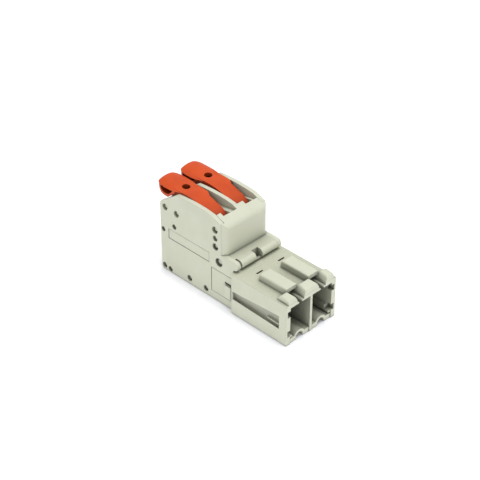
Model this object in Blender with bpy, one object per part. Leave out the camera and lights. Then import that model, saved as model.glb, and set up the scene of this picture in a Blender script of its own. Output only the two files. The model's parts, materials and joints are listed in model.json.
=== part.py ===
"""Two-pole lever wire connector with a male mating shroud, 7.62 mm pole pitch.

World frame in metres: +X towards the mating face, +Z up, origin at the middle of the
footprint on the surface the connector rests on.

The dimensions below are in millimetres on the drawing datum, which shares Y and Z with
the world but measures X back from the mating face, so X is negative along the connector.
Left and right are as seen facing the mating face: left is -Y and right is +Y.
"""

import math

import bmesh
import bpy
from mathutils import Matrix, Vector

MM = 0.001

# Whole connector
LENGTH = 47.0
PITCH = 7.62
POLES = {"left": -PITCH / 2, "right": PITCH / 2}
GAP = 0.1

# Mating shroud
SHROUD_HALF_WIDTH = 8.775
SHROUD_HEIGHT = 12.0
SHROUD_REAR = -18.65
SIDE_WALL = 1.45
PARTITION_HALF = 0.375
FLOOR_TOP = 1.4
ROOF_UNDERSIDE = 10.9
CHAMBER_REAR = -17.15
CHANNEL_HALF = 1.8
RIDGE_TOP = 14.0
RIDGE_REAR = -12.2
RIDGE_FRONT = -3.0
ARM_REAR = -26.6
ARM_BOTTOM = 2.5
ARM_TOP = 9.5
ARM_INNER = 6.85
SIDE_POCKET_DEPTH = 0.9

# Clamp housing between its side plates
HOUSING_REAR = -45.2
HOUSING_HALF_WIDTH = 7.7
PLATE_INNER = 6.55
CORE_HALF_WIDTH = 6.53
DIVIDER_HALF = 0.55
BASE_TOP = 2.6
NECK_FRONT = -18.95
TOWER_FRONT = -21.8
TOWER_SIDE_SEAM = -23.2
TOWER_CAVITY_FRONT = -23.1
SEAM_GAP = 0.02
BLOCK_REAR = -26.4
STEP_TOP = 14.85
STEP_NOSE = -17.45
STEP_RADIUS = 1.2
ENTRY_FRONT = -38.2
ENTRY_TOP = 20.4
ENTRY_CENTRE_Z = 7.2

# Lever: pivot, travel and the snail cam that pushes the clamp cage down
PIVOT_X = -31.0
PIVOT_Z = 19.0
LEVER_TRAVEL = math.radians(62.0)
LEVER_HALF_WIDTH = 2.6
NECK_RIGHT = 1.8
NECK_RADIUS = 5.4
HUB_RADIUS = 3.0
TRUNNION_RADIUS = 1.5
BEARING_RADIUS = 1.6
CAM_LOW = 5.7
CAGE_TRAVEL = 2.6
ARM_HEIGHT = 25.62
GRIP_HOLE_X = -39.5
GRIP_HOLE_RADIUS = 1.08
# Grip sections from the tip forwards: X, half width, height in the middle, height at the rim
GRIP_SECTIONS = [
    (-47.0, 2.2, 25.85, 25.5), (-46.8, 2.7, 26.08, 25.42), (-46.3, 3.1, 26.2, 25.33),
    (-45.4, 3.35, 26.2, 25.24), (-44.0, 3.45, 26.08, 25.18), (-42.0, 3.42, 25.92, 25.2),
    (-40.6, 3.25, 25.8, 25.3), (-39.4, 2.95, 25.7, 25.42), (-38.2, 2.62, 25.61, 25.5),
    (-37.6, 2.54, 25.54, 25.45),
]
GRIP_RIM = 0.22

# Latch hook sections from the rear forwards: X, height
HOOK_SECTIONS = [
    (-4.0, 12.15), (-3.5, 12.75), (-3.0, 13.3), (-2.7, 13.55),
    (-2.3, 13.62), (-0.7, 13.42), (-0.3, 13.3), (-0.08, 13.1), (0.0, 12.8),
]

# Current path
PIN_BOTTOM = 5.7
PIN_TOP = 6.6
PIN_HALF_WIDTH = 1.15
PIN_TIP = -6.5
BAR_HALF_WIDTH = 1.9
BAR_THICKNESS = 0.8
BAR_TOP = 9.1
SPRING_HALF_WIDTH = 1.8
SPRING_THICKNESS = 0.3
BOW_X = -35.6
CAGE_TOP = 13.15
CAGE_THICKNESS = 0.5

# Round recesses in each side plate: X, Z, radius. A pin stands in the first group.
PIN_HOLES = [
    (-43.4, 19.6, 0.95), (-39.2, 19.35, 0.95), (-44.2, 12.55, 0.72), (-40.1, 15.05, 0.75),
    (-44.1, 1.25, 0.82), (-42.0, 0.98, 0.8), (-34.8, 1.8, 0.88), (-28.8, 1.8, 0.88),
]
BLIND_PITS = [(-25.35, 21.3, 1.0), (-25.3, 18.82, 0.8), (-25.25, 16.35, 1.0), (-24.05, 12.2, 1.22)]
ENTRY_PIN_COUNT = 4

# Colours
HOUSING_GREY = (0.68, 0.69, 0.58, 1.0)
LEVER_ORANGE = (0.74, 0.125, 0.035, 1.0)
SPRING_STEEL = (0.62, 0.63, 0.64, 1.0)
TINNED_COPPER = (0.72, 0.70, 0.66, 1.0)


# Building blocks

def clear_scene():
    for obj in list(bpy.data.objects):
        bpy.data.objects.remove(obj, do_unlink=True)


def world(x, y, z):
    """A point on the drawing datum, as world metres."""
    return Vector(((x + LENGTH / 2) * MM, y * MM, z * MM))


def arc(centre, radius, start, end, steps):
    """Points on an arc in a side view, from one angle to the other in degrees."""
    points = []
    for i in range(steps + 1):
        angle = math.radians(start + (end - start) * i / steps)
        points.append((centre[0] + radius * math.cos(angle), centre[1] + radius * math.sin(angle)))
    return points


def rounded_rectangle(low, high, radius, steps=4):
    corners = [
        ((high[0] - radius, high[1] - radius), 0),
        ((low[0] + radius, high[1] - radius), 90),
        ((low[0] + radius, low[1] + radius), 180),
        ((high[0] - radius, low[1] + radius), 270),
    ]
    outline = []
    for centre, start in corners:
        outline += arc(centre, radius, start, start + 90, steps)
    return outline


def loft(name, rings):
    """A closed solid through rings of world points that match one to one."""
    mesh = bpy.data.meshes.new(name)
    work = bmesh.new()
    loops = [[work.verts.new(point) for point in ring] for ring in rings]
    for near, far in zip(loops, loops[1:]):
        for i in range(len(near)):
            j = (i + 1) % len(near)
            work.faces.new((near[i], near[j], far[j], far[i]))
    work.faces.new(loops[0])
    work.faces.new(loops[-1])
    bmesh.ops.recalc_face_normals(work, faces=work.faces)
    work.to_mesh(mesh)
    work.free()
    obj = bpy.data.objects.new(name, mesh)
    bpy.context.scene.collection.objects.link(obj)
    return obj


def side_prism(name, outline, y_low, y_high):
    """An X-Z outline extruded across the connector."""
    return loft(name, [[world(x, y, z) for x, z in outline] for y in (y_low, y_high)])


def end_prism(name, outline, x_low, x_high):
    """A Y-Z outline extruded along the connector."""
    return loft(name, [[world(x, y, z) for y, z in outline] for x in (x_low, x_high)])


def plan_prism(name, outline, z_low, z_high):
    """An X-Y outline extruded upwards."""
    return loft(name, [[world(x, y, z) for x, y in outline] for z in (z_low, z_high)])


def block(name, x, y, z):
    return side_prism(name, [(x[0], z[0]), (x[1], z[0]), (x[1], z[1]), (x[0], z[1])], *y)


def cross_rod(name, x, z, radius, y_low, y_high, sides=20):
    """A round rod lying across the connector."""
    return side_prism(name, arc((x, z), radius, 0, 360 - 360 / sides, sides - 1), y_low, y_high)


def combine(target, other, operation):
    other.hide_render = True
    other.display_type = "WIRE"
    modifier = target.modifiers.new(operation.lower(), "BOOLEAN")
    modifier.operation = operation
    modifier.object = other
    modifier.solver = "EXACT"


def join(target, *others):
    for other in others:
        combine(target, other, "UNION")


def cut(target, *others):
    for other in others:
        combine(target, other, "DIFFERENCE")


def move_origin(obj, point):
    """Puts an object's origin on its joint without moving its shape."""
    obj.data.transform(Matrix.Translation(-point))
    obj.location = point


def finish(obj, colour, roughness, metallic=0.0):
    material = bpy.data.materials.new(obj.name)
    material.use_nodes = True
    shader = material.node_tree.nodes["Principled BSDF"]
    shader.inputs["Base Color"].default_value = colour
    shader.inputs["Roughness"].default_value = roughness
    shader.inputs["Metallic"].default_value = metallic
    obj.data.materials.append(material)
    obj.data.set_sharp_from_angle(angle=math.radians(35))


def finish_plastic(obj):
    finish(obj, HOUSING_GREY, 0.5)


# Outlines that more than one piece shares

def housing_top_line():
    """The arched top edge of the clamp housing, from the tower back to the rear corner."""
    return [
        (-26.4, 25.0), (-29.0, 25.3), (-31.6, 25.4), (-34.1, 25.38), (-36.6, 25.25),
        (-38.9, 25.05), (HOUSING_REAR + 0.4, 20.95), (HOUSING_REAR, 20.5),
    ]


def step_nose():
    """The round nose of the step at the foot of the tower."""
    centre = (STEP_NOSE - STEP_RADIUS, STEP_TOP - STEP_RADIUS)
    return arc(centre, STEP_RADIUS, -90, 90, 10)


# Clamp housing

def tower_outline(rear):
    """Side view of the tower: upright front, rounded brow, top rising to the rear."""
    brow = arc((TOWER_FRONT - 1.7, 22.2), 1.7, 0, 68, 5)
    return brow + [(-23.8, 24.05), (-26.0, 24.85), (rear, 25.0)]


def make_core():
    stub = [(BLOCK_REAR, 0.0), (NECK_FRONT, 0.0), (NECK_FRONT, STEP_TOP - 2 * STEP_RADIUS)]
    stub += step_nose() + [(TOWER_FRONT - 0.3, STEP_TOP), (TOWER_FRONT - 0.3, 17.0), (BLOCK_REAR, 17.0)]
    core = side_prism("clamp_housing", stub, -CORE_HALF_WIDTH, CORE_HALF_WIDTH)
    rear = HOUSING_REAR + 0.5
    base = [(HOUSING_REAR, 0.5), (rear, 0.0), (BLOCK_REAR + 0.5, 0.0)]
    base += [(BLOCK_REAR + 0.5, BASE_TOP), (HOUSING_REAR, BASE_TOP)]
    join(core, side_prism("core_base", base, -CORE_HALF_WIDTH + 0.01, CORE_HALF_WIDTH - 0.01))
    join(core, make_tower())
    divider = [(-25.6, 24.2)] + housing_top_line() + [(HOUSING_REAR, 1.0), (-25.6, 1.0)]
    join(core, side_prism("core_divider", divider, -DIVIDER_HALF, DIVIDER_HALF))
    for side, pole in POLES.items():
        cut_pole_space(core, side, pole)
    for side, pole in POLES.items():
        join(core, make_shoulder(side, pole))
    cut(core, cross_rod("core_bearing", PIVOT_X, PIVOT_Z, BEARING_RADIUS, -1.0, 1.0, 32))
    cut_step_windows(core)
    for index, (x, z, radius) in enumerate(PIN_HOLES[ENTRY_PIN_COUNT:]):
        half = HOUSING_HALF_WIDTH - 0.58
        join(core, cross_rod(f"core_pin_{index}", x, z, radius * 0.55, -half, half, 16))
    finish_plastic(core)


def make_tower():
    """The tower: its front is as wide as the housing and covers the side plates' edges."""
    outline = [(TOWER_FRONT, STEP_TOP + SEAM_GAP)] + tower_outline(BLOCK_REAR - 1)
    outline += [(BLOCK_REAR - 1, STEP_TOP + SEAM_GAP)]
    tower = side_prism("tower", outline, -HOUSING_HALF_WIDTH, HOUSING_HALF_WIDTH)
    radius = 2.0
    half = HOUSING_HALF_WIDTH
    inner = CORE_HALF_WIDTH - 0.05
    plan = [(BLOCK_REAR + 0.01, -inner), (TOWER_SIDE_SEAM, -inner), (TOWER_SIDE_SEAM, -half + 0.03)]
    plan += arc((TOWER_FRONT - radius, radius - half), radius, -66, 0, 6)
    plan += arc((TOWER_FRONT - radius, half - radius), radius, 0, 66, 6)
    plan += [(TOWER_SIDE_SEAM, half - 0.03), (TOWER_SIDE_SEAM, inner), (BLOCK_REAR + 0.01, inner)]
    combine(tower, plan_prism("tower_plan", plan, STEP_TOP - 1, 30.0), "INTERSECT")
    return tower


def bay(pole):
    """The Y range of the space beside the divider that holds one pole."""
    return sorted((math.copysign(DIVIDER_HALF + 0.05, pole), math.copysign(PLATE_INNER, pole)))


def cut_pole_space(core, side, pole):
    y_low, y_high = bay(pole)
    inside = block(
        f"core_cavity_{side}", (BLOCK_REAR - 1, TOWER_CAVITY_FRONT), (y_low, y_high), (4.7, 23.2)
    )
    cut(core, inside)
    # The throat that the lever's neck comes out of: the tower's rear edge covers
    # the neck's left part a little further back than its right part.
    notch_left = pole - LEVER_HALF_WIDTH + 1.3
    mouth = block(
        f"core_mouth_{side}", (BLOCK_REAR - 1, -26.0), (y_low, notch_left + 0.01), (23.0, 26.0)
    )
    throat = block(
        f"core_throat_{side}", (BLOCK_REAR - 1, -24.9), (notch_left, y_high), (23.0, 26.0)
    )
    cut(core, mouth, throat)
    slot = block(
        f"core_pin_slot_{side}",
        (TOWER_CAVITY_FRONT - 0.5, NECK_FRONT + 1),
        (pole - PIN_HALF_WIDTH - GAP, pole + PIN_HALF_WIDTH + GAP),
        (PIN_BOTTOM - GAP, PIN_TOP + GAP),
    )
    cut(core, slot)
    latch_pocket = block(
        f"core_latch_pocket_{side}",
        (BLOCK_REAR - 0.2, -25.2),
        sorted((math.copysign(5.9, pole), math.copysign(7.0, pole))),
        (2.85, 4.5),
    )
    cut(core, latch_pocket)


def make_shoulder(side, pole):
    """The sloping ledge beside the lever's neck, on the neck's right."""
    y_low = pole + 1.95
    y_high = -DIVIDER_HALF + 0.1 if pole < 0 else CORE_HALF_WIDTH - 0.1
    outline = [
        (-30.8, 22.7), (-26.3, 23.5), (-24.5, 23.6), (-22.6, 23.6),
        (-22.6, 20.2), (-27.5, 20.2), (-29.2, 22.2),
    ]
    return side_prism(f"core_shoulder_{side}", outline, y_low, y_high)


def cut_step_windows(core):
    """The notch in the middle of the step and the slit beside the step's left end."""
    cut(core, block("core_step_notch", (-19.5, -17.0), (-1.1, 1.1), (12.8, 15.5)))
    cut(core, block("core_step_well", (-19.52, -18.6), (-0.2, 1.08), (9.5, 13.5)))
    cut(core, block("core_step_slit", (-19.6, -17.0), (-PLATE_INNER - 0.05, -5.98), (12.0, 15.5)))


def make_side_plate(side):
    sign = -1 if side == "left" else 1
    outer = sign * HOUSING_HALF_WIDTH
    inner = sign * PLATE_INNER
    outline = [(HOUSING_REAR, 0.5), (HOUSING_REAR + 0.5, 0.0), (NECK_FRONT, 0.0)]
    outline += [(NECK_FRONT, STEP_TOP - 2 * STEP_RADIUS)] + step_nose()
    seam = TOWER_SIDE_SEAM - SEAM_GAP
    outline += [(seam, STEP_TOP), (seam, 23.75), (-23.8, 24.0), (-26.0, 24.85)]
    outline += housing_top_line()
    plate = side_prism(f"{side}_side_plate", outline, *sorted((outer, inner)))
    window = block(
        f"{side}_plate_window",
        (ARM_REAR - 0.22, NECK_FRONT + 1),
        sorted((outer * 1.1, inner * 0.9)),
        (ARM_BOTTOM - 0.12, ARM_TOP + 0.14),
    )
    cut(plate, window)
    bearing = cross_rod(
        f"{side}_plate_bearing", PIVOT_X, PIVOT_Z, BEARING_RADIUS,
        *sorted((inner * 0.95, inner + sign * 0.7)), 32,
    )
    cut(plate, bearing)
    floor = outer - sign * 0.22
    cut(plate, block(f"{side}_plate_band", (-42.3, -27.5), sorted((floor, outer * 1.1)), (10.65, 13.6)))
    pad = sorted((floor - sign * 0.1, outer - sign * 0.06))
    join(plate, block(f"{side}_plate_pad", (-42.16, -27.62), pad, (10.77, 13.48)))
    for index, (x, z, radius) in enumerate(PIN_HOLES):
        span = sorted((inner * 0.9, outer * 1.1))
        cut(plate, cross_rod(f"{side}_hole_{index}", x, z, radius, *span, 16))
    for index, (x, z, radius) in enumerate(BLIND_PITS):
        floor = outer - sign * 0.85
        cut(plate, cross_rod(f"{side}_pit_{index}", x, z, radius, *sorted((floor, outer * 1.1)), 16))
        span = sorted((floor - sign * 0.12, outer - sign * 0.55))
        join(plate, cross_rod(f"{side}_boss_{index}", x, z, radius * 0.52, *span, 14))
    finish_plastic(plate)


def make_wire_entry(side, pole):
    """The block with the funnel that guides a wire to the clamp."""
    if pole < 0:
        y_range = (-CORE_HALF_WIDTH, -DIVIDER_HALF - GAP)
    else:
        y_range = (DIVIDER_HALF + GAP, CORE_HALF_WIDTH)
    outline = [
        (HOUSING_REAR, BASE_TOP + GAP), (ENTRY_FRONT, BASE_TOP + GAP),
        (ENTRY_FRONT, ENTRY_TOP - 0.6), (ENTRY_FRONT - 0.6, ENTRY_TOP),
        (HOUSING_REAR + 0.2, ENTRY_TOP), (HOUSING_REAR, ENTRY_TOP - 0.2),
    ]
    entry = side_prism(f"wire_entry_{side}", outline, *y_range)
    rings = []
    stations = [(HOUSING_REAR - 1.0, 2.6, 3.6), (HOUSING_REAR, 2.5, 3.3),
                (HOUSING_REAR + 3.2, 2.3, 2.4), (ENTRY_FRONT + 1.0, 2.3, 2.4)]
    for x, half_width, half_height in stations:
        low = (pole - half_width, ENTRY_CENTRE_Z - half_height)
        high = (pole + half_width, ENTRY_CENTRE_Z + half_height)
        rings.append([world(x, y, z) for y, z in rounded_rectangle(low, high, 0.8)])
    cut(entry, loft(f"entry_funnel_{side}", rings))
    sign = -1 if pole < 0 else 1
    for index, (x, z, radius) in enumerate(PIN_HOLES[:ENTRY_PIN_COUNT]):
        span = sorted((sign * 5.5, sign * (HOUSING_HALF_WIDTH - 0.58)))
        join(entry, cross_rod(f"entry_pin_{side}_{index}", x, z, radius * 0.55, *span, 16))
    finish_plastic(entry)


# Mating shroud

def make_shroud():
    half = SHROUD_HALF_WIDTH
    section = rounded_rectangle((-half, 0.0), (half, SHROUD_HEIGHT), 0.25, 2)
    shroud = end_prism("mating_shroud", section, SHROUD_REAR, 0.0)
    for side, pole in POLES.items():
        join(shroud, make_ridge(side, pole))
    for index, (y_low, y_high) in enumerate(((-8.0, -4.5), (-3.2, 3.2), (4.5, 8.0))):
        join(shroud, make_hook(index, y_low, y_high))
    for sign in (-1, 1):
        join(shroud, make_latch_arm(sign))
    for side, pole in POLES.items():
        cut_chamber(shroud, side, pole)
    for sign in (-1, 1):
        cut_side_pocket(shroud, sign)
    finish_plastic(shroud)


def make_ridge(side, pole):
    """The raised cover over one latch channel."""
    bottom = SHROUD_HEIGHT - 0.3
    radius = 0.45
    left = (pole - CHANNEL_HALF + radius, RIDGE_TOP - radius)
    right = (pole + CHANNEL_HALF - radius, RIDGE_TOP - radius)
    section = [(pole - CHANNEL_HALF - 0.08, bottom), (pole + CHANNEL_HALF + 0.08, bottom)]
    section += arc(right, radius, 0, 90, 4) + arc(left, radius, 90, 180, 4)
    ridge = end_prism(f"ridge_{side}", section, RIDGE_REAR, RIDGE_FRONT)
    slope = [(RIDGE_REAR - 1, RIDGE_TOP + 1), (RIDGE_REAR - 1, SHROUD_HEIGHT - 1),
             (RIDGE_REAR - 0.01, SHROUD_HEIGHT - 1), (RIDGE_REAR, 13.1),
             (RIDGE_REAR + 0.35, 13.8), (RIDGE_REAR + 1.0, RIDGE_TOP + 1)]
    cut(ridge, side_prism(f"ridge_end_{side}", slope, pole - 3, pole + 3))
    return ridge


def make_hook(index, y_low, y_high):
    """A low catch that the mating connector's latch snaps over."""
    rings = []
    foot = SHROUD_HEIGHT - 0.3
    for x, height in HOOK_SECTIONS:
        radius = min(0.4, height - foot - 0.1)
        left = (y_low + radius, height - radius)
        right = (y_high - radius, height - radius)
        section = [(y_low, foot), (y_high, foot)]
        section += arc(right, radius, 0, 90, 4) + arc(left, radius, 90, 180, 4)
        rings.append([world(x, y, z) for y, z in section])
    return loft(f"hook_{index}", rings)


def make_latch_arm(sign):
    """The rear arm that clips the shroud to the clamp housing, with its rib and nose."""
    outer = sign * HOUSING_HALF_WIDTH
    inner = sign * ARM_INNER
    arm = block(
        f"latch_arm_{sign}", (ARM_REAR, SHROUD_REAR + 1.0), sorted((outer, inner)),
        (ARM_BOTTOM, ARM_TOP),
    )
    nose = [(-26.4, -6.2), (-26.2, -6.2), (-25.5, -6.95), (-26.4, -6.95)]
    nose = [(x, -sign * y) for x, y in nose]
    join(arm, plan_prism(f"latch_nose_{sign}", nose, 3.0, 4.3))
    rib = block(
        f"latch_rib_{sign}", (-21.6, -19.4), sorted((outer - sign * 0.2, outer + sign * 0.55)),
        (3.2, 6.9),
    )
    join(arm, rib)
    notch = block(
        f"latch_notch_{sign}", (-21.9, -19.3), sorted((outer - sign * 0.35, outer + sign)),
        (7.0, 7.5),
    )
    cut(arm, notch)
    return arm


def cut_chamber(shroud, side, pole):
    sign = -1 if pole < 0 else 1
    inner = sign * PARTITION_HALF
    outer = sign * (SHROUD_HALF_WIDTH - SIDE_WALL)
    rail = outer - sign * 0.8
    # The chamber narrows at the rail that runs along the foot of the outer wall.
    section = [
        (inner, FLOOR_TOP), (outer, FLOOR_TOP), (outer, 1.75), (rail, 1.85), (rail, 3.4),
        (outer, 3.6), (outer, ROOF_UNDERSIDE), (inner, ROOF_UNDERSIDE),
    ]
    cut(shroud, end_prism(f"chamber_{side}", section, CHAMBER_REAR, 1.0))
    # The floor stops just short of the face, with a half-round key arch over an open channel.
    front_trim = block(f"floor_trim_{side}", (-0.2, 1.0), sorted((inner, outer)), (-1.0, 3.0))
    cut(shroud, front_trim)
    floor_pole = (pole, 0.5)
    arch = [(pole + 2.0, 0.3)] + arc(floor_pole, 2.0, 0, 180, 10) + [(pole - 2.0, 0.3)]
    join(shroud, end_prism(f"key_arch_{side}", arch, CHAMBER_REAR - 0.2, -0.2))
    channel = [(pole + 1.3, -1.0)] + arc(floor_pole, 1.3, 0, 180, 8) + [(pole - 1.3, -1.0)]
    cut(shroud, end_prism(f"key_channel_{side}", channel, -9.0, 1.0))
    # The latch channel under the ridge, the open mouth before it, and the slit between
    # the lips at the mouth's foot.
    cut(shroud, block(f"latch_channel_{side}", (-11.4, 1.0), (pole - 1.2, pole + 1.2), (11.4, 12.9)))
    flank = [(0.6, 11.2), (0.85, 11.5), (1.2, 12.05), (1.5, 12.65), (1.7, 13.1), (1.9, 13.35), (2.3, 13.65)]
    flank.append((2.3, 15.0))
    mouth = [(pole + y, z) for y, z in flank]
    mouth += [(pole - y, z) for y, z in reversed(flank)]
    cut(shroud, end_prism(f"latch_mouth_{side}", mouth, RIDGE_FRONT, 1.0))
    cut(shroud, block(f"latch_slit_{side}", (-11.4, 1.0), (pole - 0.55, pole + 0.55), (10.0, 12.0)))
    cut(shroud, block(f"roof_slot_{side}", (-14.65, -14.15), (pole - 0.4, pole + 1.7), (10.0, 13.0)))
    # Recesses for the key fingers in the edge of the outer wall.
    for index, (z_low, z_high) in enumerate(((2.4, 4.2), (8.3, 10.1))):
        notch = block(
            f"edge_notch_{side}_{index}", (-1.6, 1.0),
            sorted((outer - sign * 1.0, outer + sign * 0.95)), (z_low, z_high),
        )
        cut(shroud, notch)
    slot = block(
        f"shroud_pin_slot_{side}", (SHROUD_REAR - 1.0, CHAMBER_REAR + 1.0),
        (pole - PIN_HALF_WIDTH - GAP, pole + PIN_HALF_WIDTH + GAP),
        (PIN_BOTTOM - GAP, PIN_TOP + GAP),
    )
    cut(shroud, slot)


def cut_side_pocket(shroud, sign):
    """The long recess in the outer wall, whose foot slopes down into the wall, with a short
    rib across its front end."""
    outer = sign * SHROUD_HALF_WIDTH
    foot = [(-18.2, 4.7), (-6.3, 4.35), (-2.4, 4.2)]
    roof = [(-2.4, 8.05), (-18.2, 6.95)]
    rings = []
    for depth in (-0.2, SIDE_POCKET_DEPTH):
        lower = [(x, z - 0.7 * depth) for x, z in foot]
        rings.append([world(x, outer - sign * depth, z) for x, z in lower + roof])
    cut(shroud, loft(f"side_pocket_{sign}", rings))
    span = sorted((outer - sign * (SIDE_POCKET_DEPTH + 0.1), outer - sign * 0.3))
    rib = [(-6.6, 5.15), (-2.2, 4.95), (-2.2, 5.35), (-6.6, 5.55)]
    join(shroud, side_prism(f"side_pocket_rib_{sign}", rib, *span))


# Levers

def cam_outline(start, end, steps):
    """The snail cam: its radius grows in proportion to the angle, so that the clamp cage
    moves in proportion to the lever."""
    points = []
    for i in range(steps + 1):
        angle = start + (end - start) * i / steps
        rise = CAGE_TRAVEL * (angle + 90.0) / math.degrees(LEVER_TRAVEL)
        radius = CAM_LOW + min(max(rise, 0.0), CAGE_TRAVEL)
        direction = math.radians(angle)
        points.append((PIVOT_X + radius * math.cos(direction), PIVOT_Z + radius * math.sin(direction)))
    return points


def make_lever(side, pole):
    pivot = (PIVOT_X, PIVOT_Z)
    right = pole + LEVER_HALF_WIDTH
    body = arc(pivot, NECK_RADIUS, -12, 82, 12)
    body += [(-31.3, 24.72), (-32.8, 25.18), (-34.6, 25.5), (-36.5, ARM_HEIGHT)]
    body += [(-44.6, 25.5), (-45.5, 25.0), (-45.3, 24.1), (-44.4, 23.4), (-43.2, 23.0), (-42.4, 23.1)]
    body += [(-41.0, 23.0), (-37.2, 22.4)]
    body += arc(pivot, CAM_LOW, 150, 260, 12) + cam_outline(-90, -25, 9)
    lever = side_prism(f"lever_{side}", body, pole - LEVER_HALF_WIDTH, pole + NECK_RIGHT)

    cam = arc(pivot, HUB_RADIUS, 160, -8, 14) + cam_outline(-25, -90, 9) + arc(pivot, CAM_LOW, 260, 170, 9)
    join(lever, side_prism(f"lever_cam_{side}", cam, pole + 1.7, right))
    join(lever, make_arm_edge(side, pole))
    join(lever, *make_grip(side, pole))

    hollow = [
        (-41.0, 21.0), (-40.6, 24.6), (-35.4, 24.6), (-34.4, 24.1), (-35.4, 22.6),
        (-36.4, 20.8), (-37.5, 18.0),
    ]
    cut(lever, side_prism(f"lever_hollow_{side}", hollow, pole - 1.7, pole + 1.7))
    curl = [(-45.8, 25.03), (-41.1, 25.03), (-41.7, 24.3), (-42.6, 23.5)]
    curl += [(-43.6, 23.3), (-44.7, 23.5), (-45.5, 24.1)]
    cut(lever, side_prism(f"lever_curl_{side}", curl, pole - 4.0, pole + 4.0))
    hole = arc((GRIP_HOLE_X, pole), GRIP_HOLE_RADIUS, 0, 345, 23)
    cut(lever, plan_prism(f"lever_hole_{side}", hole, 23.0, 27.0))

    reach_plate = PLATE_INNER + 0.6
    reach_divider = 0.1
    ends = (-reach_plate, -reach_divider) if pole < 0 else (reach_divider, reach_plate)
    join(lever, cross_rod(f"lever_trunnion_{side}", *pivot, TRUNNION_RADIUS, *ends, 32))
    move_origin(lever, world(PIVOT_X, pole, PIVOT_Z))
    finish(lever, LEVER_ORANGE, 0.42)


def make_arm_edge(side, pole):
    """The right-hand edge of the wide arm, which tapers into the narrower neck."""
    right = pole + LEVER_HALF_WIDTH
    outline = [
        (-33.0, 25.2), (-34.6, 25.49), (-36.5, ARM_HEIGHT - 0.01), (-40.5, ARM_HEIGHT - 0.01), (-40.5, 23.7),
        (-36.9, 22.4), (-36.4, 18.5), (-34.0, 18.0), (-34.5, 20.8), (-34.2, 22.0), (-33.6, 23.5),
    ]
    edge = side_prism(f"lever_edge_{side}", outline, pole + 1.6, right)
    plan = [
        (-42.0, pole + 1.0), (-32.9, pole + 1.0), (-32.9, pole + 1.82), (-33.4, pole + 2.05),
        (-34.1, pole + 2.5), (-34.4, pole + 2.59), (-42.0, pole + 2.59),
    ]
    combine(edge, plan_prism(f"lever_edge_plan_{side}", plan, 10.0, 28.0), "INTERSECT")
    return edge


def make_grip(side, pole):
    """The crowned finger plate and the curl beneath its tip."""
    rings = []
    for x, half_width, middle, rim in GRIP_SECTIONS:
        section = []
        for i in range(13):
            share = -1 + i / 6
            section.append((pole + half_width * share, rim + (middle - rim) * (1 - abs(share) ** 2.4)))
        section += [(pole + half_width - 0.12, rim - GRIP_RIM), (pole - half_width + 0.12, rim - GRIP_RIM)]
        rings.append([world(x, y, z) for y, z in section])
    plate = loft(f"grip_plate_{side}", rings)
    curl = [
        (-46.75, 25.4), (-46.7, 24.9), (-46.45, 24.2), (-46.0, 23.5), (-45.3, 22.95), (-44.5, 22.65),
        (-43.5, 22.55), (-42.7, 22.65), (-41.4, 23.75), (-40.6, 24.45), (-40.2, 25.1),
    ]
    tip = side_prism(f"grip_tip_{side}", curl, pole - 3.3, pole + 3.3)
    plan = []
    for x, half_width, _, _ in GRIP_SECTIONS:
        plan.append((x, pole - half_width + 0.1))
    for x, half_width, _, _ in reversed(GRIP_SECTIONS):
        plan.append((x, pole + half_width - 0.1))
    combine(tip, plan_prism(f"grip_tip_plan_{side}", plan, 20.0, 28.0), "INTERSECT")
    return plate, tip


# Clamp and current path

def make_clamp_spring(side, pole):
    """The fixed run of the clamp spring: a leg on the current bar and the bow behind it."""
    outer = (CAGE_TOP - 0.35 - 9.2) / 2
    centre = (BOW_X, 9.2 + outer)
    outline = [(-29.4, 9.2)] + arc(centre, outer, 270, 90, 12) + [(-35.2, 9.2 + 2 * outer)]
    outline += [(-35.2, 9.2 + 2 * outer - SPRING_THICKNESS)]
    outline += arc(centre, outer - SPRING_THICKNESS, 90, 270, 12)
    outline += [(-29.4, 9.2 + SPRING_THICKNESS)]
    spring = side_prism(
        f"clamp_spring_{side}", outline, pole - SPRING_HALF_WIDTH, pole + SPRING_HALF_WIDTH
    )
    finish(spring, SPRING_STEEL, 0.3, 1.0)


def make_clamp_cage(side, pole):
    """The spring's moving end: a window that draws the wire up against the current bar."""
    half = LEVER_HALF_WIDTH
    rear = PIVOT_X - CAGE_THICKNESS / 2
    cage = block(
        f"clamp_cage_{side}", (rear, rear + CAGE_THICKNESS), (pole - half, pole + half),
        (7.0, CAGE_TOP),
    )
    window = block(
        f"cage_window_{side}", (rear - 1, rear + 1.5), (pole - 2.05, pole + 2.05), (8.2, 12.3)
    )
    cut(cage, window)
    back = block(
        f"cage_back_{side}", (-34.9, rear + 0.2),
        (pole - SPRING_HALF_WIDTH, pole + SPRING_HALF_WIDTH), (12.5, 12.8),
    )
    join(cage, back)
    finish(cage, SPRING_STEEL, 0.3, 1.0)


def make_current_bar(side, pole):
    low = PIN_BOTTOM - GAP
    outline = [
        (-35.5, BAR_TOP - BAR_THICKNESS), (-29.0, BAR_TOP - BAR_THICKNESS),
        (-27.4, low - BAR_THICKNESS), (-23.6, low - BAR_THICKNESS), (-23.6, low),
        (-27.0, low), (-28.6, BAR_TOP), (-35.2, BAR_TOP), (-35.5, BAR_TOP - 0.2),
    ]
    bar = side_prism(f"current_bar_{side}", outline, pole - BAR_HALF_WIDTH, pole + BAR_HALF_WIDTH)
    finish(bar, TINNED_COPPER, 0.3, 1.0)


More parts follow.
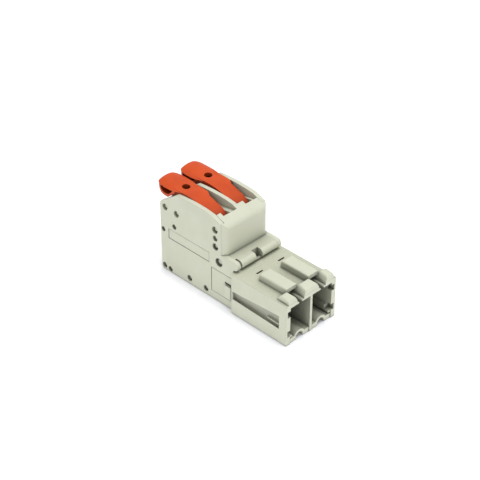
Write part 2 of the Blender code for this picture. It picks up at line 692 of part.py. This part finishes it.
def make_contact_pin(side, pole):
    plan = [
        (-26.6, -1.9), (-23.4, -1.9), (-23.4, -PIN_HALF_WIDTH), (PIN_TIP - 1.2, -PIN_HALF_WIDTH),
        (PIN_TIP, -0.55), (PIN_TIP, 0.55), (PIN_TIP - 1.2, PIN_HALF_WIDTH),
        (-23.4, PIN_HALF_WIDTH), (-23.4, 1.9), (-26.6, 1.9),
    ]
    plan = [(x, pole + y) for x, y in plan]
    pin = plan_prism(f"contact_pin_{side}", plan, PIN_BOTTOM, PIN_TOP)
    profile = [
        (-28.0, PIN_BOTTOM - 1), (PIN_TIP - 1.2, PIN_BOTTOM - 0.01), (PIN_TIP + 0.01, 5.95),
        (PIN_TIP + 0.01, 6.35), (PIN_TIP - 1.2, PIN_TOP + 0.01), (-28.0, PIN_TOP + 1),
    ]
    taper = side_prism(f"pin_taper_{side}", profile, pole - 3, pole + 3)
    combine(pin, taper, "INTERSECT")
    finish(pin, TINNED_COPPER, 0.25, 1.0)


clear_scene()
make_core()
make_shroud()
for plate_side in POLES:
    make_side_plate(plate_side)
for pole_side, pole_y in POLES.items():
    make_wire_entry(pole_side, pole_y)
    make_lever(pole_side, pole_y)
    make_clamp_spring(pole_side, pole_y)
    make_clamp_cage(pole_side, pole_y)
    make_current_bar(pole_side, pole_y)
    make_contact_pin(pole_side, pole_y)
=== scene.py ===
"""Two-pole lever wire connector: finishes, smooth shading, light and camera over the CAD frame."""

import json
import math

import bpy
from mathutils import Matrix, Vector


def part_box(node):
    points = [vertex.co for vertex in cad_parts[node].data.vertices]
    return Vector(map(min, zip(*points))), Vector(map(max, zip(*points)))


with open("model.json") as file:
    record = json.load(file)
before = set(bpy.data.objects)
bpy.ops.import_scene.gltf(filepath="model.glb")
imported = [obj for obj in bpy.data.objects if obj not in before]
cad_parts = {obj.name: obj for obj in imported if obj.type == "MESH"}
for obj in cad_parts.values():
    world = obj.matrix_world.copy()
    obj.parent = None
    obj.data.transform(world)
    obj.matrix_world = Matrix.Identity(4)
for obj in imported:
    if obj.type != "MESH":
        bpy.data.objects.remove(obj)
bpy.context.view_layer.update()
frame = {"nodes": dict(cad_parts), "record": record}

# Camera: where it stands in metres, the side it looks from in degrees, lens and sensor in mm
CAMERA_AT = (0.2025, -0.2035, 0.2174)
CAMERA_AZIMUTH = 44.98
CAMERA_ELEVATION = 35.12
CAMERA_LENS = 106.05
CAMERA_SENSOR = 36.0

# Colours, linear
GREY = (0.635, 0.645, 0.515)
GREY_WARM = (0.60, 0.61, 0.48)
ORANGE = (0.66, 0.083, 0.012)
ORANGE_DEEP = (0.57, 0.066, 0.009)
STEEL = (0.62, 0.63, 0.64)
TIN = (0.74, 0.72, 0.68)
HIGHLIGHT_WHITE = (1.0, 1.0, 0.98)

# Places where painted shade tones the plastics darker or lighter, as in the photograph. Metres in the
# frame's axes.
# The recess in the shroud's outer wall, back from its front face and in from its side
RECESS_BACK, RECESS_FRONT = 0.0183, 0.0026
RECESS_INNER, RECESS_OUTER = 0.0012, 0.0004
RECESS_FOOT, RECESS_HEAD = 0.0033, 0.0081
# The shroud's flat roof
ROOF_LOW, ROOF_HIGH = 0.0119, 0.0121
ROOF_BACK, ROOF_FRONT = 0.0186, -0.001
# The open bays between the housing's walls, and the levers' necks
BAY_FOOT, BAY_CLEAR = 0.015, 0.018
NECK_BACK, NECK_FRONT = -0.009, -0.001

# Surface measures, in metres
EDGE_RADIUS = 0.00018
GRAIN_DEPTH = 0.00004
STRIP_LINE_DEPTH = 0.00001
RECESS_REACH = 0.010
FLOOR_CONTACT_REACH = 0.006
SCATTER_LENGTH = 0.0006

# Smooth shading: corners nearer than this are one corner, and edges sharper than this stay sharp
MERGE_DISTANCE = 1e-7
SHARP_ABOVE_DEG = 35.0


# Materials

def new_material(name):
    material = bpy.data.materials.new(name)
    material.use_nodes = True
    nodes = material.node_tree.nodes
    nodes.clear()
    out = nodes.new("ShaderNodeOutputMaterial")
    shader = nodes.new("ShaderNodeBsdfPrincipled")
    material.node_tree.links.new(shader.outputs["BSDF"], out.inputs["Surface"])
    return material, nodes, material.node_tree.links, shader


def noise(nodes, links, coords, scale, detail=3.0, roughness=0.5):
    node = nodes.new("ShaderNodeTexNoise")
    node.inputs["Scale"].default_value = scale
    node.inputs["Detail"].default_value = detail
    node.inputs["Roughness"].default_value = roughness
    links.new(coords.outputs["Object"], node.inputs["Vector"])
    return node


def spread(nodes, links, source, low, high, new_low, new_high):
    node = nodes.new("ShaderNodeMapRange")
    node.inputs["From Min"].default_value = low
    node.inputs["From Max"].default_value = high
    node.inputs["To Min"].default_value = new_low
    node.inputs["To Max"].default_value = new_high
    links.new(source, node.inputs["Value"])
    return node.outputs["Result"]


def mix(nodes, links, factor, first, second, blend="MIX"):
    node = nodes.new("ShaderNodeMix")
    node.data_type = "RGBA"
    node.blend_type = blend
    for socket, value in ((node.inputs[6], first), (node.inputs[7], second)):
        if isinstance(value, tuple):
            socket.default_value = (*value, 1.0)
        else:
            links.new(value, socket)
    if isinstance(factor, float):
        node.inputs[0].default_value = factor
    else:
        links.new(factor, node.inputs[0])
    return node.outputs[2]


def valued(nodes, links, colour, value):
    """The colour with its brightness multiplied by value."""
    node = nodes.new("ShaderNodeHueSaturation")
    links.new(colour, node.inputs["Color"])
    links.new(value, node.inputs["Value"])
    return node.outputs["Color"]


def product(nodes, links, first, second):
    node = nodes.new("ShaderNodeMath")
    node.operation = "MULTIPLY"
    links.new(first, node.inputs[0])
    links.new(second, node.inputs[1])
    return node.outputs["Value"]


def band(nodes, links, source, low, high, soft):
    """1 between two values, fading to 0 over a short distance beyond each."""
    rise = spread(nodes, links, source, low - soft, low, 0.0, 1.0)
    fall = spread(nodes, links, source, high, high + soft, 1.0, 0.0)
    return product(nodes, links, rise, fall)


def openness(nodes, reach, samples, own_surfaces_only=False):
    """How open a point is to its surroundings within reach: 1 in the open, 0 in a crevice."""
    node = nodes.new("ShaderNodeAmbientOcclusion")
    node.samples = samples
    node.only_local = own_surfaces_only
    node.inputs["Distance"].default_value = reach
    return node.outputs["AO"]


def shroud_masks(nodes, links, split):
    """Two masks by position on the mating shroud, for painted shade: the floors of the long recesses in its
    outer walls, and its flat roof."""
    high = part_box("mating_shroud")[1]
    side = nodes.new("ShaderNodeMath")
    side.operation = "ABSOLUTE"
    links.new(split.outputs["Y"], side.inputs[0])
    along = band(nodes, links, split.outputs["X"], high.x - RECESS_BACK, high.x - RECESS_FRONT, 0.0004)
    deep = band(nodes, links, side.outputs["Value"], high.y - RECESS_INNER, high.y - RECESS_OUTER, 0.0003)
    height = band(nodes, links, split.outputs["Z"], RECESS_FOOT, RECESS_HEAD, 0.0003)
    recess_shade = product(nodes, links, product(nodes, links, along, deep), height)
    top = band(nodes, links, split.outputs["Z"], ROOF_LOW, ROOF_HIGH, 0.0001)
    front = band(nodes, links, split.outputs["X"], high.x - ROOF_BACK, high.x - ROOF_FRONT, 0.0001)
    return recess_shade, product(nodes, links, top, front)


def rounded_normal(nodes):
    """The surface normal with sharp edges rounded off, for shading only."""
    bevel = nodes.new("ShaderNodeBevel")
    bevel.samples = 6
    bevel.inputs["Radius"].default_value = EDGE_RADIUS
    return bevel.outputs["Normal"]


def painted_edge_highlight(nodes, links, colour, rounded, gain):
    """The colour with a painted highlight, a little lighter along rounded edges."""
    geometry = nodes.new("ShaderNodeNewGeometry")
    dot = nodes.new("ShaderNodeVectorMath")
    dot.operation = "DOT_PRODUCT"
    links.new(rounded, dot.inputs[0])
    links.new(geometry.outputs["Normal"], dot.inputs[1])
    edge = spread(nodes, links, dot.outputs["Value"], 0.98, 0.8, 0.0, gain)
    return mix(nodes, links, edge, colour, HIGHLIGHT_WHITE, "SCREEN")


def gap_shade(nodes, links, split, joint_reach, neck_shade):
    """A brightness factor for painted shade, lower in recesses, along joint lines and on the levers' necks.
    """
    recess_shade = spread(nodes, links, openness(nodes, RECESS_REACH, 8, True), 0.2, 0.93, 0.34, 1.0)
    # Painted shade: the open bays above the clamp are darkened less than the chambers lower down.
    bays = nodes.new("ShaderNodeMix")
    bays.inputs[3].default_value = 1.0
    links.new(spread(nodes, links, split.outputs["Z"], BAY_FOOT, BAY_CLEAR, 0.0, 0.6), bays.inputs[0])
    links.new(recess_shade, bays.inputs[2])
    # Painted shade: a lever's neck gets darker towards its pivot.
    neck = spread(nodes, links, split.outputs["X"], NECK_BACK, NECK_FRONT, 1.0, neck_shade)
    shade = product(nodes, links, bays.outputs[0], neck)
    # Painted shade along the joint lines between parts.
    seam = spread(nodes, links, openness(nodes, joint_reach, 6), 0.45, 0.9, 0.55, 1.0)
    return product(nodes, links, shade, seam)


def painted_shade_streaks(nodes, links, coords, colour):
    """The colour, darkened by painted shade and in fine streaks that run along the connector."""
    stretch = nodes.new("ShaderNodeMapping")
    stretch.inputs["Scale"].default_value = (60.0, 60.0, 1400.0)
    links.new(coords.outputs["Object"], stretch.inputs["Vector"])
    lines = nodes.new("ShaderNodeTexNoise")
    lines.inputs["Scale"].default_value = 1.0
    lines.inputs["Detail"].default_value = 2.0
    links.new(stretch.outputs["Vector"], lines.inputs["Vector"])
    return valued(nodes, links, colour, spread(nodes, links, lines.outputs["Fac"], 0.35, 0.65, 0.62, 0.76))


def painted_shade_speckles(nodes, links, grain, colour):
    """The colour, darkened by painted shade and mottled by the grain."""
    fleck = spread(nodes, links, grain.outputs["Fac"], 0.3, 0.7, 0.0, 1.0)
    mottle = mix(nodes, links, fleck, (0.82, 0.82, 0.80), (0.94, 0.94, 0.92))
    return mix(nodes, links, 1.0, colour, mottle, "MULTIPLY")


def add_grain(nodes, links, shader, height, depth, strength, normal=None):
    """A bump from a noise. Where a normal is given, the bump is laid over it."""
    bump = nodes.new("ShaderNodeBump")
    bump.inputs["Strength"].default_value = strength
    bump.inputs["Distance"].default_value = depth
    links.new(height.outputs["Fac"], bump.inputs["Height"])
    if normal is not None:
        links.new(normal, bump.inputs["Normal"])
    links.new(bump.outputs["Normal"], shader.inputs["Normal"])


def plastic(name, light, deep, roughness, highlight_gain, scatter, gloss, joint_reach, neck_shade):
    """Moulded plastic: slow colour drift, a fine grain, painted highlights on edges, and painted shade in
    recesses, in gaps and on the shroud's roof.
    """
    material, nodes, links, shader = new_material(name)
    coords = nodes.new("ShaderNodeTexCoord")
    split = nodes.new("ShaderNodeSeparateXYZ")
    links.new(coords.outputs["Object"], split.inputs["Vector"])
    drift = noise(nodes, links, coords, 180.0, 4.0)
    grain = noise(nodes, links, coords, 5200.0, 2.0)
    smudge = noise(nodes, links, coords, 420.0, 6.0, 0.6)
    colour = mix(nodes, links, spread(nodes, links, drift.outputs["Fac"], 0.3, 0.7, 0.0, 1.0), deep, light)
    tint = valued(nodes, links, colour, spread(nodes, links, grain.outputs["Fac"], 0.3, 0.7, 0.97, 1.03))
    rounded = rounded_normal(nodes)
    # Painted highlight along rounded edges.
    colour = painted_edge_highlight(nodes, links, tint, rounded, highlight_gain)
    # Painted shade in recesses, along joint lines and on the levers' necks.
    colour = valued(nodes, links, colour, gap_shade(nodes, links, split, joint_reach, neck_shade))
    recess_shade, roof_shade = shroud_masks(nodes, links, split)
    # Painted shade on the floors of the shroud's wall recesses, laid in fine streaks.
    colour = mix(nodes, links, recess_shade, colour, painted_shade_streaks(nodes, links, coords, tint))
    # Painted shade on the shroud's flat roof, mottled by the grain.
    colour = mix(nodes, links, roof_shade, colour, painted_shade_speckles(nodes, links, grain, colour))
    links.new(colour, shader.inputs["Base Color"])
    links.new(spread(nodes, links, smudge.outputs["Fac"], 0.3, 0.7, roughness - 0.06, roughness + 0.08),
              shader.inputs["Roughness"])
    add_grain(nodes, links, shader, grain, GRAIN_DEPTH, 0.12, rounded)
    shader.inputs["Subsurface Weight"].default_value = scatter
    shader.inputs["Subsurface Radius"].default_value = (0.9, 0.8, 0.6)
    shader.inputs["Subsurface Scale"].default_value = SCATTER_LENGTH
    shader.inputs["Specular IOR Level"].default_value = gloss
    return material


def metal(name, colour, roughness, stretch):
    """Metal strip: fine lines along it and a slight, uneven dulling."""
    material, nodes, links, shader = new_material(name)
    coords = nodes.new("ShaderNodeTexCoord")
    mapping = nodes.new("ShaderNodeMapping")
    mapping.inputs["Scale"].default_value = stretch
    links.new(coords.outputs["Object"], mapping.inputs["Vector"])
    lines = nodes.new("ShaderNodeTexNoise")
    lines.inputs["Scale"].default_value = 900.0
    lines.inputs["Detail"].default_value = 5.0
    links.new(mapping.outputs["Vector"], lines.inputs["Vector"])
    cloud = noise(nodes, links, coords, 350.0, 4.0)
    dull = tuple(c * 0.72 for c in colour)
    shade = mix(nodes, links, spread(nodes, links, cloud.outputs["Fac"], 0.35, 0.75, 0.0, 0.8), colour, dull)
    links.new(shade, shader.inputs["Base Color"])
    shader.inputs["Metallic"].default_value = 1.0
    links.new(spread(nodes, links, lines.outputs["Fac"], 0.3, 0.7, roughness - 0.08, roughness + 0.12),
              shader.inputs["Roughness"])
    add_grain(nodes, links, shader, lines, STRIP_LINE_DEPTH, 0.15)
    return material


def floor_material():
    material, nodes, links, shader = new_material("studio_floor")
    coords = nodes.new("ShaderNodeTexCoord")
    drift = noise(nodes, links, coords, 6.0, 3.0)
    colour = mix(nodes, links, drift.outputs["Fac"], (0.90, 0.90, 0.91), (0.93, 0.93, 0.935))
    # The floor glows a little as painted light, and less where the object meets it: a painted contact
    # shadow, darker and bluish.
    shade = spread(nodes, links, openness(nodes, FLOOR_CONTACT_REACH, 16), 0.3, 0.95, 0.0, 1.0)
    colour = mix(nodes, links, shade, (0.80, 0.80, 0.85), colour)
    links.new(colour, shader.inputs["Base Color"])
    links.new(colour, shader.inputs["Emission Color"])
    links.new(spread(nodes, links, shade, 0.0, 1.0, 0.06, 0.33), shader.inputs["Emission Strength"])
    shader.inputs["Roughness"].default_value = 0.9
    shader.inputs["Specular IOR Level"].default_value = 0.1
    return material


MATERIALS = {
    "housing_plastic": plastic(
        "grey_moulding", GREY, GREY_WARM, roughness=0.46, highlight_gain=0.10, scatter=0.10, gloss=0.38,
        joint_reach=0.0008, neck_shade=1.0,
    ),
    "lever_plastic": plastic(
        "orange_moulding", ORANGE, ORANGE_DEEP, roughness=0.42, highlight_gain=0.05, scatter=0.06, gloss=0.25,
        joint_reach=0.003, neck_shade=0.72,
    ),
    "spring_steel": metal("bright_strip", STEEL, roughness=0.28, stretch=(1.0, 12.0, 1.0)),
    "tinned_copper": metal("tin_plate", TIN, roughness=0.30, stretch=(1.0, 10.0, 1.0)),
}


# Shading and materials of the CAD nodes

def smoothing_nodes():
    """Joins the CAD triangles at their corners and shades the edges under SHARP_ABOVE_DEG smooth."""
    tree = bpy.data.node_groups.new("smooth_by_angle", "GeometryNodeTree")
    tree.interface.new_socket("Geometry", in_out="INPUT", socket_type="NodeSocketGeometry")
    tree.interface.new_socket("Geometry", in_out="OUTPUT", socket_type="NodeSocketGeometry")
    nodes, links = tree.nodes, tree.links
    source = nodes.new("NodeGroupInput")
    merge = nodes.new("GeometryNodeMergeByDistance")
    merge.inputs["Distance"].default_value = MERGE_DISTANCE
    angle = nodes.new("GeometryNodeInputMeshEdgeAngle")
    compare = nodes.new("FunctionNodeCompare")
    compare.data_type = "FLOAT"
    compare.operation = "GREATER_THAN"
    compare.inputs["B"].default_value = math.radians(SHARP_ABOVE_DEG)
    normal = nodes.new("GeometryNodeSetMeshNormal")
    normal.mode = "SHARPNESS"
    normal.inputs["Remove Custom"].default_value = True
    out = nodes.new("NodeGroupOutput")
    links.new(source.outputs[0], merge.inputs["Geometry"])
    links.new(angle.outputs["Unsigned Angle"], compare.inputs["A"])
    links.new(compare.outputs["Result"], normal.inputs["Edge Sharpness"])
    links.new(merge.outputs["Geometry"], normal.inputs["Mesh"])
    links.new(normal.outputs["Mesh"], out.inputs[0])
    return tree


def smooth_frame():
    tree = smoothing_nodes()
    for obj in frame["nodes"].values():
        obj.modifiers.new("smooth_by_angle", "NODES").node_group = tree
        weighted = obj.modifiers.new("weighted_normals", "WEIGHTED_NORMAL")
        weighted.mode = "FACE_AREA"
        weighted.keep_sharp = True


def dress_frame():
    slots = {entry["node"]: entry["material_slot"] for entry in frame["record"]["subparts"]}
    for name, obj in frame["nodes"].items():
        for slot in obj.material_slots:
            slot.link = "OBJECT"
            slot.material = MATERIALS[slots[name]]


# Floor, light and camera

def add_floor():
    bpy.ops.mesh.primitive_plane_add(size=4.0, location=(0.0, 0.0, -0.00002))
    floor = bpy.context.object
    floor.name = "floor"
    floor.data.materials.append(floor_material())


def add_area(name, at, towards, size, power):
    light = bpy.data.lights.new(name, "AREA")
    light.shape = "RECTANGLE"
    light.size = size[0]
    light.size_y = size[1]
    light.energy = power
    obj = bpy.data.objects.new(name, light)
    bpy.context.scene.collection.objects.link(obj)
    obj.location = at
    obj.rotation_euler = (Vector(towards) - Vector(at)).to_track_quat("-Z", "Y").to_euler()


def add_light():
    world = bpy.data.worlds.new("studio")
    world.use_nodes = True
    background = world.node_tree.nodes["Background"]
    background.inputs["Color"].default_value = (0.97, 0.985, 1.0, 1.0)
    background.inputs["Strength"].default_value = 0.66
    bpy.context.scene.world = world
    add_area("key", at=(0.08, 0.03, 0.58), towards=(0.0, 0.0, 0.01), size=(0.36, 0.36), power=2.0)


def add_camera():
    camera = bpy.data.cameras.new("camera")
    camera.lens = CAMERA_LENS
    camera.sensor_width = CAMERA_SENSOR
    camera.clip_start = 0.01
    obj = bpy.data.objects.new("camera", camera)
    bpy.context.scene.collection.objects.link(obj)
    azimuth = math.radians(CAMERA_AZIMUTH)
    elevation = math.radians(CAMERA_ELEVATION)
    back = Vector((
        math.sin(azimuth) * math.cos(elevation),
        -math.cos(azimuth) * math.cos(elevation),
        math.sin(elevation),
    ))
    right = Vector((math.cos(azimuth), math.sin(azimuth), 0.0))
    up = back.cross(right)
    obj.matrix_world = Matrix.Translation(CAMERA_AT) @ Matrix((right, up, back)).transposed().to_4x4()
    bpy.context.scene.camera = obj


dress_frame()
smooth_frame()
add_floor()
add_light()
add_camera()

bpy.context.scene.view_settings.view_transform = "Standard"
bpy.context.view_layer.update()
